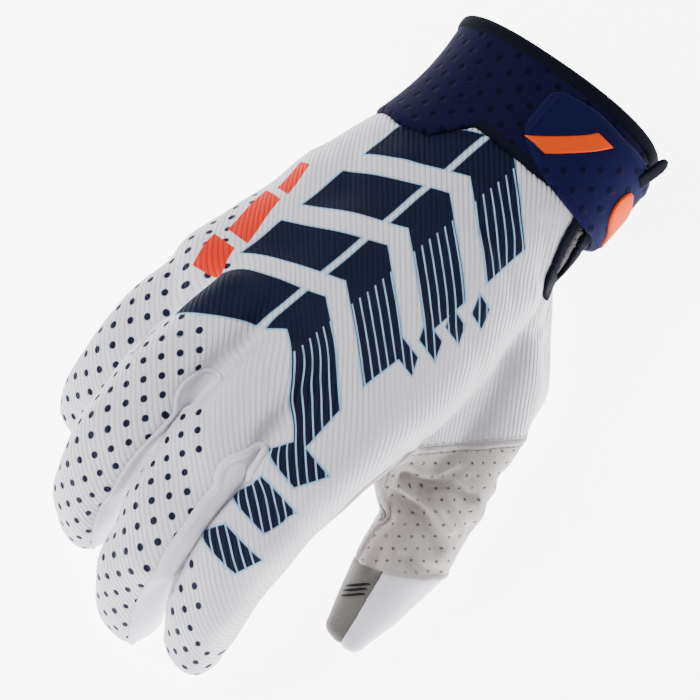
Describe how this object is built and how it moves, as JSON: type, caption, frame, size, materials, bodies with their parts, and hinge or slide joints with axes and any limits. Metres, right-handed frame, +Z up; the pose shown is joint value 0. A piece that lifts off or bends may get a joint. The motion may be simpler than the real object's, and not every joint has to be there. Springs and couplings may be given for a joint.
{
  "type": "motocross glove",
  "caption": "Right-hand off-road riding glove: stretch back, suede palm, finger gussets, reinforced thumb saddle and a foam cuff with a slit and hook closure strap",
  "frame": {"origin": "on the surface that the glove rests on, under the middle of its bounding box", "axes": "+Y from the fingertips to the cuff, +X to the thumb side, +Z up, out of the back of the hand"},
  "size_m": [0.1296, 0.2126, 0.0706],
  "materials": {
    "stretch_cloth": "ribbed pale stretch knit with a navy, pale blue and red printed pattern",
    "smooth_cloth": "smooth white stretch cloth",
    "suede": "light warm-grey perforated microsuede",
    "palm_cloth": "dark grey microsuede with sewn lines",
    "navy_foam": "matt navy foam rubber with dimples",
    "black_tape": "woven near-black binding tape",
    "navy_strap": "matt navy moulded strap",
    "orange_print": "satin orange rubber print"
  },
  "bodies": {
    "root": {"back_panel": "stretch_cloth", "palm_panel": "suede", "gusset_index_middle": "smooth_cloth", "gusset_middle_ring": "smooth_cloth", "gusset_ring_pinky": "smooth_cloth", "thumb_saddle": "suede", "thumb_back": "smooth_cloth", "thumb_palm": "palm_cloth", "cuff": "navy_foam", "cuff_rim_tape": "black_tape", "slit_tape": "black_tape", "closure_strap": "navy_strap", "strap_bar": "orange_print", "strap_patch": "orange_print", "pull_tab": "black_tape"}
  },
  "joints": []
}
